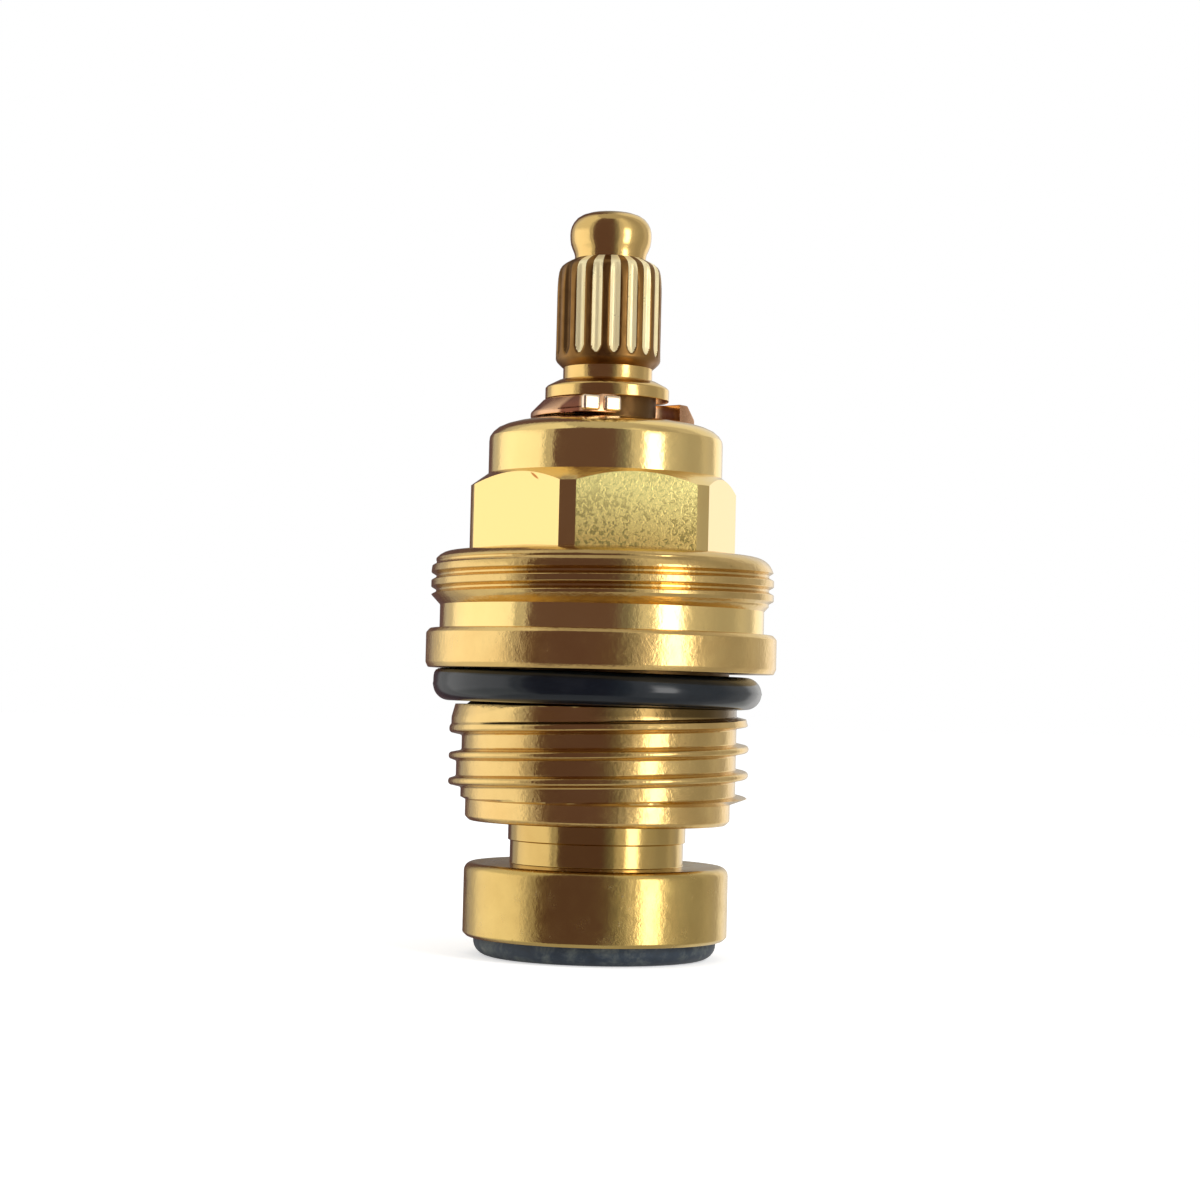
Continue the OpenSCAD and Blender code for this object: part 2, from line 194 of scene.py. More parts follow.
class Finish:
    """A material whose nodes are added one after another."""

    def __init__(self, name, metallic, roughness, colour=(0.8, 0.8, 0.8)):
        self.material = bpy.data.materials.new(name)
        self.material.use_nodes = True
        self.tree = self.material.node_tree
        self.shader = self.tree.nodes["Principled BSDF"]
        self.shader.inputs["Metallic"].default_value = metallic
        self.shader.inputs["Roughness"].default_value = roughness
        self.shader.inputs["Base Color"].default_value = (*colour, 1)
        self.place = self.tree.nodes.new("ShaderNodeTexCoord").outputs["Object"]

    def node(self, kind, inputs=(), **settings):
        """Adds a node, whose inputs are given as links or values."""
        made = self.tree.nodes.new("ShaderNode" + kind)
        for key, value in settings.items():
            setattr(made, key, value)
        for key, value in dict(inputs).items():
            if isinstance(value, bpy.types.NodeSocket):
                self.tree.links.new(value, made.inputs[key])
            else:
                made.inputs[key].default_value = value
        return made

    def noise(self, scale, detail=3.0, vector=None, rough=0.55, distortion=0.0):
        made = self.node("TexNoise", {"Vector": vector or self.place, "Scale": scale, "Detail": detail,
                                      "Roughness": rough, "Distortion": distortion})
        return made.outputs["Fac"]

    def steps(self, value, stops):
        """Colours or greys that follow a value between stops."""
        ramp = self.node("ValToRGB", {"Fac": value})
        fill_ramp(ramp.color_ramp, stops)
        return ramp.outputs["Color"]

    def math(self, operation, a, b):
        return self.node("Math", {0: a, 1: b}, operation=operation).outputs[0]

    def past(self, value, start, span):
        """Rises from 0 at a start to 1 at the end of a span, which may be negative."""
        beyond = self.math("SUBTRACT", value, start)
        share = self.node("Math", {0: beyond, 1: 1 / span}, operation="MULTIPLY", use_clamp=True)
        return share.outputs[0]

    def mix(self, share, a, b, blend="MIX"):
        made = self.node("Mix", {"Factor": share}, data_type="RGBA", blend_type=blend)
        for key, value in ((6, a), (7, b)):
            if isinstance(value, bpy.types.NodeSocket):
                self.tree.links.new(value, made.inputs[key])
            else:
                made.inputs[key].default_value = (*value, 1)
        return made.outputs[2]

    def lathe_lines(self):
        """Distance from the axis and height, so that a texture runs in rings as tool marks do."""
        parts = self.node("SeparateXYZ", {0: self.place})
        flat = self.node("CombineXYZ", {0: parts.outputs[0], 1: parts.outputs[1]})
        radius = self.node("VectorMath", {0: flat.outputs[0]}, operation="LENGTH").outputs["Value"]
        return self.node("CombineXYZ", {0: radius, 1: parts.outputs[2]}).outputs[0]

    def bump(self, height, distance, after=None):
        """Relief of a depth in metres, on top of the relief before it."""
        inputs = {"Height": height, "Distance": distance, "Strength": 1.0}
        if after:
            inputs["Normal"] = after
        return self.node("Bump", inputs).outputs["Normal"]

    def set(self, **sockets):
        """Links the shader's sockets and gives back the material."""
        for key, value in sockets.items():
            self.tree.links.new(value, self.shader.inputs[key.replace("_", " ")])
        return self.material


def turned_brass(name, colour, stain, roughness, ring_depth, dents=3e-6, shaded_above=None,
                 metallic=1.0):
    """Brass as it leaves the lathe: fine rings, small dents, and a faint brown stain.

    Above a height, its deep grooves may be painted dark, as a painted shade.
    """
    brass = Finish(name, metallic, roughness)
    rings = brass.lathe_lines()
    cloud = brass.noise(260, 4.0)
    blotch = brass.noise(900, 5.0, rough=0.65)
    base = brass.mix(brass.steps(cloud, [(0.35, 0.0), (0.7, 0.55)]), colour, stain)
    spots = brass.steps(brass.noise(2300, 2.0), [(0.72, 0.0), (0.8, 0.5)])
    base = brass.mix(spots, base, tuple(0.55 * c for c in stain))
    if shaded_above:
        parts = brass.node("SeparateXYZ", {0: rings})
        high_up = brass.past(parts.outputs[1], shaded_above * MM, 0.25 * MM)
        deep_down = brass.past(parts.outputs[0], 9.9 * MM, -0.25 * MM)
        # Grooves above that height and inside 9.9 mm are painted dark brown, a painted shade.
        base = brass.mix(brass.math("MULTIPLY", high_up, deep_down), base,
                         tuple(0.22 * c for c in stain))
    worn = brass.steps(blotch, [(0.3, roughness * 0.75), (0.75, roughness * 1.55)])
    normal = brass.bump(brass.noise(9000, 3.0, rings), ring_depth)
    normal = brass.bump(brass.noise(3500, 2.0, rings), ring_depth * 2, normal)
    normal = brass.bump(brass.noise(2400, 3.0, rough=0.7), dents, normal)
    return brass.set(Base_Color=base, Roughness=worn, Normal=normal)


BRASS, STAIN = (0.80, 0.56, 0.215), (0.68, 0.43, 0.15)
POLISHED, POLISHED_STAIN = (0.93, 0.69, 0.275), (0.88, 0.60, 0.215)
body_turned = turned_brass("turned_body_brass", BRASS, STAIN, 0.19, 0.9e-6, 22e-6)
body_polished = turned_brass("polished_body_brass", POLISHED, POLISHED_STAIN, 0.12, 0.35e-6, 13e-6)
# The seat thread's deep grooves from 16.6 mm up are painted dark, a painted shade under the flange ring.
body_threaded = turned_brass("threaded_body_brass", (0.74, 0.52, 0.20), (0.60, 0.38, 0.13), 0.16,
                             0.8e-6, 20e-6, shaded_above=16.6)
# The undercut under the flange ring is painted dark brown, a painted shade under the ring.
body_undercut_shade = turned_brass("undercut_painted_shade_brass", (0.20, 0.12, 0.045), (0.12, 0.07, 0.025), 0.4,
                           1.2e-6)

# Two opposite flats are pebbly and pitted, and browner towards the flange. The other four are
# smooth, and the one at the left of the front has a short scratch
forged = Finish("forged_flat_brass", 1.0, 0.2)
pebbles = forged.noise(3600, 3.0, rough=0.6, distortion=0.8)
spot = forged.node("SeparateXYZ", {0: forged.place})
across = forged.math("ABSOLUTE", spot.outputs[0], 0.0)
low_down = forged.past(spot.outputs[2], 32.2 * MM, -3.6 * MM)
rough_flats = forged.past(across, 5.0 * MM, -0.6 * MM)
uneven = forged.math("MULTIPLY", forged.noise(330, 2.0), 0.3)
pits = forged.steps(forged.math("ADD", pebbles, uneven), [(0.56, 1.0), (0.64, 0.0)])
pits = forged.math("MULTIPLY", pits, rough_flats)
scratch_place = forged.node(
    "Mapping", {"Vector": forged.place, "Location": (-0.006466, -0.0058, 0.0329),
                "Rotation": (0, 0.55, math.radians(-60)), "Scale": (0.0006, 0.0006, 0.00012)},
    vector_type="TEXTURE")
scratch = forged.node("TexGradient", {0: scratch_place.outputs[0]}, gradient_type="SPHERICAL")
scratch = forged.steps(scratch.outputs["Fac"], [(0.1, 0.0), (0.5, 1.0)])
skin = forged.mix(low_down, (0.98, 0.85, 0.33), (0.60, 0.43, 0.14))
flat = forged.mix(rough_flats, POLISHED, skin)
depth = forged.math("ADD", forged.math("MULTIPLY", low_down, 0.72), 0.2)
flat = forged.mix(forged.math("MULTIPLY", pits, depth), flat, (0.30, 0.23, 0.07))
relief = forged.math("MULTIPLY", pebbles, forged.math("ADD", rough_flats, 0.08))
body_forged = forged.set(Base_Color=forged.mix(scratch, flat, (0.50, 0.20, 0.05)),
                         Normal=forged.bump(relief, 11e-6))
FLAT, POLISH, THREADED, UNDERCUT_SHADE = 1, 2, 3, 4  # each finish's place on the piece

# Heights, from the pilot's end to the bonnet's top
PILOT_Z, SEAT_START_Z, SEAT_TAPER_Z, SEAT_END_Z = 9.3, 10.75, 15.95, 17.36
COLLAR_Z, GROOVE_Z, RUN_OUT_Z, FINE_THREAD_Z, FLANGE_TOP_Z = 19.87, 22.6, 24.25, 24.95, 28.0
GUIDE_Z, BORE_Z, BONNET_Z, BONNET_TOP_Z = 20.2, 30.5, 33.5, 37.38
# Radii, and half the width over the flats
PILOT, CHAMBER, SEAT, SEAT_END, UNDERCUT, COLLAR = 9.25, 7.25, 10.4775, 10.1, 9.0, 12.27
GROOVE, FINE, CORNERS, BONNET, BORE, ROOM = 11.35, 12.0, 9.5, 8.2, 4.4, 7.3
FLATS, GUIDE_FLATS = 8.5, 6.25
SEAT_PITCH, SEAT_DEPTH, FINE_PITCH, FINE_DEPTH = 1.814, 0.88, 1.0, 0.34
# The flange's rounded shoulder, which the fine thread runs on to
SHOULDER, SHOULDER_ROUND, THREADED_TO = 10.6, 1.4, 65.85
# The height of one crest of each thread, at the left or the right as the camera sees it
LEFT_CREST, LEFT, RIGHT_CREST, RIGHT = 13.75, 165.2, 25.2, 345.2

seat_form = [(0, 0), (0.048, 0.017), (0.09, 0.066), (0.121, 0.142), (0.137, 0.22), (0.2, 0.85),
             (0.22, 0.95), (0.26, 1), (0.34, 1), (0.42, 1), (0.5, 1)]
seat_form += [(1 - u, d) for u, d in seat_form[-2::-1]]
fine_form = [(0, 0), (0.2, 0), (0.24, 0.08), (0.4, 0.92), (0.44, 1), (0.5, 1)]
fine_form += [(1 - u, d) for u, d in fine_form[-2::-1]]

shoulder_middle = (SHOULDER, FLANGE_TOP_Z - SHOULDER_ROUND)
shoulder_end = rounded(shoulder_middle, SHOULDER_ROUND, THREADED_TO, 90, 3)
pilot_and_chamber = lathe([(PILOT, SEAT_START_Z)] + eased([
    (PILOT, SEAT_START_Z), (PILOT, PILOT_Z + 0.3), (PILOT - 0.3, PILOT_Z), (CHAMBER + 0.6, PILOT_Z),
    (CHAMBER, PILOT_Z + 0.3), (CHAMBER, GUIDE_Z + 0.3), (7.5, GUIDE_Z + 0.5), (7.5, 28.1), (7.6, 28.3),
    (8.5, 28.25), shoulder_end[-1]], 0.08)[1:-1] + shoulder_end[::-1])
seat_thread = cut_thread(
    seat_form, SEAT_PITCH, SEAT_DEPTH,
    [(SEAT_START_Z, PILOT), (SEAT_START_Z + 0.45, SEAT), (SEAT_TAPER_Z, SEAT), (SEAT_END_Z, SEAT_END)],
    crest_z=LEFT_CREST - SEAT_PITCH * LEFT / 360, shallow_at=[(12.85, 0.6), (16.47, 0.15)],
    material=THREADED)
# The undercut's dark colour is a painted shade under the flange ring.
undercut = lathe([(SEAT_END, SEAT_END_Z), (9.3, SEAT_END_Z), (UNDERCUT, 17.6), (UNDERCUT, COLLAR_Z)],
                 material=UNDERCUT_SHADE)
collar = lathe(eased([
    (UNDERCUT, COLLAR_Z), (12.1, COLLAR_Z), (COLLAR, COLLAR_Z + 0.35), (COLLAR, GROOVE_Z - 0.3),
    (12.0, GROOVE_Z), (GROOVE, GROOVE_Z)], 0.07))
groove = lathe([(GROOVE, GROOVE_Z), (GROOVE, RUN_OUT_Z)], material=POLISH)
shoulder = [(z, r) for r, z in rounded(shoulder_middle, SHOULDER_ROUND, 0, THREADED_TO, 6)]
fine_thread = cut_thread(
    fine_form, FINE_PITCH, FINE_DEPTH, [(RUN_OUT_Z, GROOVE), (FINE_THREAD_Z, FINE)] + shoulder,
    crest_z=RIGHT_CREST - FINE_PITCH * RIGHT / 360, material=THREADED)

# The hexagon's six flats are left as forged, between corners turned to 19 mm
crown = [(BONNET, 35.8), (8.16, 36.1), (7.95, 36.42), (7.6, 36.72), (7.1, 36.95), (6.5, 37.12),
         (5.6, 37.28)]
hexagon = [(ROOM, FLANGE_TOP_Z), (CORNERS, FLANGE_TOP_Z), (CORNERS, BONNET_Z - 0.95), (BONNET, BONNET_Z)]
dome = [(BONNET, BONNET_Z), *crown, (4.65, BONNET_TOP_Z), (BORE, BONNET_TOP_Z - 0.2), (BORE, BORE_Z),
        (ROOM, BORE_Z)]
bonnet = lathe(eased(hexagon, 0.03) + eased(dome, 0.03)[1:], closed=True, material=POLISH)
cut_hexagon(bonnet, FLATS, material=FLAT)

# The hexagonal guide for the piston, broached inside
guide = bmesh.new()
bmesh.ops.create_circle(guide, segments=60, radius=7.55 * MM)
guide_corner = GUIDE_FLATS / math.cos(math.radians(30)) * MM
hole = bmesh.ops.create_circle(guide, segments=6, radius=guide_corner)["verts"]
bmesh.ops.rotate(guide, verts=hole, cent=(0, 0, 0),
                 matrix=Matrix.Rotation(math.radians(30), 3, "Z"))
step = bmesh.ops.bridge_loops(guide, edges=guide.edges[:])["faces"]
bmesh.ops.translate(guide, verts=guide.verts, vec=(0, 0, GUIDE_Z * MM))
risen = bmesh.ops.extrude_face_region(guide, geom=step, use_keep_orig=True)["geom"]
bmesh.ops.translate(guide, verts=only(bmesh.types.BMVert, risen),
                    vec=(0, 0, (BORE_Z - GUIDE_Z) * MM))
finish_piece(
    [pilot_and_chamber, seat_thread, undercut, collar, groove, fine_thread, bonnet, guide], "body",
    "valve_body", body_turned, body_forged, body_polished, body_threaded, body_undercut_shade,
    replaces=["valve_body"], slot="body_brass")


# Flange O-ring
# A moulded black rubber ring that seals the cartridge against the tap. It sits a little askew
# in its undercut, and a fine parting line runs round its outer side.
RING_SECTION, RING_RADIUS, RING_DROP, RING_SHIFT, LOW_SIDE = 2.25, 10.365, 0.2, 0.2, -15
PARTING_LINE, RING_GAP, RING_STEPS = 0.03, 0.04, 40
rubber = Finish("moulded_ring_rubber", 0.0, 0.25)
dust = rubber.steps(rubber.noise(700, 5.0, rough=0.6),
                    [(0.45, (0.003, 0.007, 0.012)), (0.8, (0.010, 0.014, 0.019))])
grain = rubber.bump(rubber.noise(5200, 3.0), 1.0e-6)
sheen = rubber.steps(rubber.noise(380, 3.0), [(0.3, 0.12), (0.7, 0.22)])
ring_rubber = rubber.set(Base_Color=dust, Normal=grain, Roughness=sheen)

section = []
for i in range(RING_STEPS):
    t = math.tau * i / RING_STEPS
    out = RING_SECTION / 2 + (PARTING_LINE if i == 0 else 0)
    section.append((RING_RADIUS + math.cos(t) * out, math.sin(t) * RING_SECTION / 2))
ring = lathe(section, closed=True)
for vert in ring.verts:
    # Where the ring is pressed to the collar, its upper outer side is squeezed square
    out, up = math.hypot(vert.co.x, vert.co.y) / MM - RING_RADIUS, vert.co.z / MM
    if out > 0.01 and up > 0.01:
        pressed = 0.5 - 0.5 * vert.co.x / math.hypot(vert.co.x, vert.co.y)
        turn, power = math.atan2(up, out), 2 + 3 * pressed ** 2
        grow = (math.cos(turn) ** power + math.sin(turn) ** power) ** (-1 / power)
        scale = (RING_RADIUS + out * grow) / (RING_RADIUS + out)
        vert.co = (vert.co.x * scale, vert.co.y * scale, vert.co.z * grow)
tilt = Matrix.Rotation(math.asin(RING_DROP / 2 / RING_RADIUS), 4, "Y")
low_side = Matrix.Rotation(math.radians(LOW_SIDE), 4, "Z")
under_collar = Matrix.Translation((0, 0, (COLLAR_Z - RING_GAP - (RING_SECTION + RING_DROP) / 2) * MM))
ring.transform(under_collar @ low_side @ Matrix.Translation((-RING_SHIFT * MM, 0, 0)) @ tilt)
finish_piece([ring], "flange_ring", "valve_body", ring_rubber, sharp=60,
             replaces=["flange_o_ring"], slot="ring_rubber")


# Spindle
# Turned brass bar with a left-hand drive screw, a thrust collar, a journal with two ring grooves
# and the clip's groove, and a cut spline of 18 teeth below a waisted knob.
spindle_brass = turned_brass("turned_spindle_brass", (0.80, 0.55, 0.20), (0.68, 0.40, 0.13), 0.14,
                             0.7e-6, 8e-6)
# The clip's groove is painted dark brown, a painted shade between the clip's arms.
dark_brass = turned_brass("clip_groove_painted_shade_brass", (0.16, 0.085, 0.03), (0.10, 0.05, 0.02), 0.45, 1.2e-6)
# The spline's lands are painted dark brown, a painted shade, and its grooves pale and half metallic, a
# painted highlight.
land_shade_brass = turned_brass("spline_land_painted_shade_brass", (0.30, 0.155, 0.045), (0.20, 0.10, 0.03), 0.38, 1e-6)
groove_highlight_brass = turned_brass("spline_groove_painted_highlight_brass", (1.0, 0.87, 0.52), (1.0, 0.80, 0.40), 0.32, 0.6e-6,
                            metallic=0.45)
DARK_BRASS, LAND, BRIGHT_GROOVE = 1, 2, 3
SCREW_Z, SCREW_TOP_Z, COLLAR_FOOT_Z, JOURNAL_Z = 11.25, 27.0, 27.9, 29.6
RING_GROOVES, RING_GROOVE, RING_GROOVE_HALF = (32.19, 35.71), 3.02, 0.69
CLIP_Z, ABOVE_CLIP_Z, WAIST_Z, SPLINE_Z, KNOB_Z = 37.45, 38.85, 40.2, 41.1, 48.8
SCREW, SCREW_CORE, THRUST_COLLAR, JOURNAL, CLIP_GROOVE, WAIST = 4.0, 3.2, 6.2, 4.35, 3.45, 3.13
SCREW_PITCH, SCREW_DEPTH, SCREW_WHOLE_Z = 2.0, 0.8, 12.0
# The spline: its radius over the teeth, the grooves' depth, their number and where one stands
TIP, DEEP, TEETH, GROOVE_AT = 3.68, 0.22, 18, 1.4
FLANK_FOOT, FLANK, CUTTER, CUT_FROM_Z = 0.35, 0.27, 1.2, 42.5
DARKER_FROM = 149  # degrees round from +x, to either side
trapezium = [(0, 0), (0.17, 0), (0.2, 0.06), (0.34, 0.94), (0.37, 1), (0.5, 1)]
trapezium += [(1 - u, d) for u, d in trapezium[-2::-1]]
AROUND = 360  # steps round the spindle, so that each groove has twenty


def groove_depth(angle, z):
    """How deep the spline's grooves are at one place. The cutter leaves a curved end below."""
    share = ((math.degrees(angle) - GROOVE_AT) * TEETH / 360 + 0.5) % 1 - 0.5
    flank = min(1.0, max(0.0, (FLANK_FOOT - abs(share)) / FLANK))
    if z > CUT_FROM_Z:
        return DEEP * flank
    rise = CUTTER - math.sqrt(max(0.0, CUTTER ** 2 - (CUT_FROM_Z - z) ** 2))
    return DEEP * flank - rise


def ring_groove(z):
    """Corners of an O-ring's groove in the journal."""
    low, high = z - RING_GROOVE_HALF, z + RING_GROOVE_HALF
    return [(JOURNAL, low), (RING_GROOVE, low), (RING_GROOVE, high), (JOURNAL, high)]


journal = lathe(eased([
    (SCREW_CORE, COLLAR_FOOT_Z), (THRUST_COLLAR - 0.3, COLLAR_FOOT_Z), (THRUST_COLLAR, 28.2),
    (THRUST_COLLAR, JOURNAL_Z), (JOURNAL, JOURNAL_Z), *ring_groove(RING_GROOVES[0]),
    *ring_groove(RING_GROOVES[1]), (JOURNAL, CLIP_Z), (CLIP_GROOVE, CLIP_Z)], 0.06), AROUND)
# The clip's groove takes the painted shade.
clip_groove = lathe([(CLIP_GROOVE, CLIP_Z), (CLIP_GROOVE, ABOVE_CLIP_Z)], AROUND, material=DARK_BRASS)
above_clip = lathe(eased([
    (CLIP_GROOVE, ABOVE_CLIP_Z), (JOURNAL, ABOVE_CLIP_Z), (JOURNAL, 39.65), (4.2, 39.8),
    (WAIST + 0.3, WAIST_Z), (WAIST, WAIST_Z), (WAIST, SPLINE_Z)], 0.06), AROUND)
blank = [(WAIST, SPLINE_Z), (3.2, 41.14), (3.4, 41.32), (3.55, 41.47), (3.64, 41.6), (TIP, 41.72)]
blank += [(TIP, 41.75 + 0.07 * i) for i in range(12)]
blank += [(TIP, 43.4), (TIP, 44.5), (TIP, 45.6), (TIP, 46.4), (3.67, 46.9), (3.64, 47.4),
          (3.59, 47.8), (3.52, 48.05), (3.4, 48.25), (3.2, 48.42), (2.9, 48.6), (2.5, KNOB_Z)]
spline = lathe(blank, AROUND)
for vert in spline.verts:
    radius = math.hypot(vert.co.x, vert.co.y) / MM
    cut_to = TIP - groove_depth(math.atan2(vert.co.y, vert.co.x), vert.co.z / MM)
    if radius > 3.14 and cut_to < radius:
        scale = max(cut_to, 2.5) / radius
        vert.co.x, vert.co.y = vert.co.x * scale, vert.co.y * scale
for face in spline.faces:
    # The grooves are painted pale and half metallic, a painted highlight, and the lands between them
    # dark brown, a painted shade. The grooves round the left, beside the clip's left arm, are darker
    middle = face.calc_center_median()
    angle = math.atan2(middle.y, middle.x)
    if groove_depth(angle, middle.z / MM) <= 0.3 * DEEP:
        face.material_index = LAND
    elif abs(math.degrees(angle)) > DARKER_FROM:
        face.material_index = DARK_BRASS
    else:
        face.material_index = BRIGHT_GROOVE
knob = lathe([
    (2.5, KNOB_Z), (2.5, 49.02), (2.56, 49.25), (2.68, 49.53), (2.8, 49.85), (2.85, 50.2),
    (2.865, 50.5), (2.845, 50.8), (2.77, 51.1), (2.63, 51.38), (2.4, 51.66), (2.08, 51.87),
    (1.65, 52.02), (1.1, 52.1), (0.5, 52.14), (0, 52.15)], AROUND)
screw = cut_thread(
    trapezium, SCREW_PITCH, SCREW_DEPTH,
    [(SCREW_Z, SCREW_CORE), (SCREW_WHOLE_Z, SCREW), (SCREW_TOP_Z, SCREW), (COLLAR_FOOT_Z, SCREW_CORE)],
    crest_z=SCREW_WHOLE_Z, steps=AROUND // 3, hand=-1)
screw_end = lathe([(0, SCREW_Z), (SCREW_CORE, SCREW_Z)], AROUND // 3)
finish_piece(
    [screw_end, screw, journal, clip_groove, above_clip, spline, knob], "spindle_turned", "spindle",
    spindle_brass, dark_brass, land_shade_brass, groove_highlight_brass, sharp=40, replaces=["spindle"],
    slot="spindle_brass")


# Inner rings and thrust washer
# Rubber rings that seal the spindle and the piston, and a smooth washer of white fluoropolymer
# that the thrust collar runs on. They are pushed on before the cartridge is closed.
def dress(node, material):
    """Gives its finish to a solid that is shown as it is."""
    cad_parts[node].data.materials.clear()
    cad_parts[node].data.materials.append(material)


for node in ("spindle_o_ring_lower", "spindle_o_ring_upper", "piston_o_ring"):
    dress(node, ring_rubber)
washer = Finish("thrust_washer_white", 0.0, 0.42)
worn = washer.steps(washer.noise(1400, 4.0), [(0.4, (0.78, 0.77, 0.73)), (0.7, (0.68, 0.66, 0.6))])
lines = washer.bump(washer.noise(6000, 3.0, washer.lathe_lines()), 1e-6)
dress("thrust_washer", washer.set(Base_Color=worn, Normal=lines))


# Retaining clip
# A horseshoe of coppery bronze, stamped from strip with one bevelled side and pushed into the
# spindle's groove from behind, open to the front right. The right arm ends square. The left one is
# cut off at a slant, with two lugs painted pale, a painted highlight, and a patch painted dark brown
# behind them, a painted dark reflection.
CLIP_TURN, CLIP_ARM, CLIP_IN, CLIP_OUT, CLIP_TOP, CLIP_THICK = -51, 3.85, 3.5, 5.35, 4.45, 1.3
SLANT, LUGS = -30, ((2.37, -5.13), (3.16, -3.77))
LUG_Z, LUG_SIZE, LUG_ROUND = 38.15, (0.6, 1.28, 1.08), 0.21
TO_THE_RIGHT = (0.967, -0.255, 0)  # as the camera sees it
clip_finish = Finish("stamped_clip_bronze", 1.0, 0.2)
tone = clip_finish.mix(clip_finish.steps(clip_finish.noise(500, 4.0), [(0.35, 0.0), (0.7, 1.0)]),
                       (0.76, 0.45, 0.26), (0.60, 0.31, 0.16))
spot = clip_finish.node("SeparateXYZ", {0: clip_finish.place})
along = clip_finish.node("VectorMath", {0: clip_finish.place, 1: TO_THE_RIGHT},
                         operation="DOT_PRODUCT").outputs["Value"]
# A patch on the left arm, behind the lugs, is painted dark brown, a painted dark reflection.
dark_patch = clip_finish.math("MULTIPLY", clip_finish.past(along, -1.75 * MM, -0.2 * MM),
                           clip_finish.past(along, -3.4 * MM, 0.3 * MM))
dark_patch = clip_finish.math("MULTIPLY", dark_patch, clip_finish.past(spot.outputs[1], -3.0 * MM, -0.3 * MM))
tone = clip_finish.mix(dark_patch, tone, (0.227, 0.08, 0.045))
drawn = clip_finish.bump(clip_finish.noise(2600, 4.0, rough=0.6), 3.2e-6)
worn = clip_finish.steps(clip_finish.noise(1200, 3.0), [(0.3, 0.16), (0.7, 0.32)])
clip_bronze = clip_finish.set(Base_Color=tone, Normal=drawn, Roughness=worn)
# The lugs are painted pale, a painted highlight.
lug_highlight = Finish("lug_painted_highlight_bronze", 1.0, 0.25)
bright = lug_highlight.mix(lug_highlight.noise(900, 3.0), (1.0, 0.84, 0.64), (0.98, 0.76, 0.55))
lug_highlight_bronze = lug_highlight.set(Base_Color=bright)

strip = bmesh.new()
section = [(CLIP_IN, 0), (CLIP_OUT, 0), (CLIP_OUT, 0.35), (CLIP_TOP, CLIP_THICK), (CLIP_IN, CLIP_THICK)]
corners = [strip.verts.new((0, -x * MM, (z + CLIP_Z + 0.05) * MM)) for x, z in section]
end = strip.faces.new(corners)
bmesh.ops.spin(strip, geom=[end, *end.edges, *end.verts], axis=(0, 0, 1), cent=(0, 0, 0),
               angle=-math.pi, steps=48)
for face in [f for f in strip.faces if len(f.verts) == len(section)]:
    arm = bmesh.ops.extrude_face_region(strip, geom=[face])["geom"]
    bmesh.ops.translate(strip, verts=only(bmesh.types.BMVert, arm), vec=(CLIP_ARM * MM, 0, 0))
bmesh.ops.remove_doubles(strip, verts=strip.verts, dist=1e-7)
# The left arm's end is cut off
slant = Vector((math.cos(math.radians(SLANT)), math.sin(math.radians(SLANT)), 0))
cut = bmesh.ops.bisect_plane(strip, geom=[*strip.verts, *strip.edges, *strip.faces],
                             plane_co=Vector((2.35, -CLIP_OUT, 0)) * MM, plane_no=slant,
                             clear_outer=True)
bmesh.ops.holes_fill(strip, edges=only(bmesh.types.BMEdge, cut["geom_cut"]), sides=0)
bmesh.ops.recalc_face_normals(strip, faces=strip.faces)
edges = [e for e in strip.edges if e.calc_face_angle(0.0) > 0.5]
bmesh.ops.bevel(strip, geom=edges, offset=0.09 * MM, segments=2, profile=0.5, affect="EDGES",
                material=-1)
pushed_on = Matrix.Rotation(math.radians(CLIP_TURN), 4, "Z")
strip.transform(pushed_on)
# Two rounded lugs, for the pliers, stand at that end
lugs = bmesh.new()
for x, y in LUGS:
    place = pushed_on @ Matrix.Translation(Vector((x, y, LUG_Z)) * MM)
    place = place @ Matrix.Rotation(math.radians(SLANT), 4, "Z")
    place = place @ Matrix.Diagonal((*(size * MM for size in LUG_SIZE), 1))
    bmesh.ops.create_cube(lugs, size=1.0, matrix=place)
bmesh.ops.bevel(lugs, geom=lugs.edges[:], offset=LUG_ROUND * MM, segments=5, profile=0.5,
                affect="EDGES", material=-1)
for face in lugs.faces:
    face.material_index = 1
finish_piece([strip, lugs], "clip", "spindle", clip_bronze, lug_highlight_bronze,
             replaces=["retaining_clip"], slot="clip_bronze")


# Piston
# Turned brass: a cup for the seat washer, a neck with a relief, a sealing land and above it a
# hexagonal nut that slides in the body's guide.
piston_brass = turned_brass("turned_piston_brass", (0.68, 0.485, 0.165), (0.55, 0.36, 0.11), 0.2,
                            1.1e-6, 16e-6)
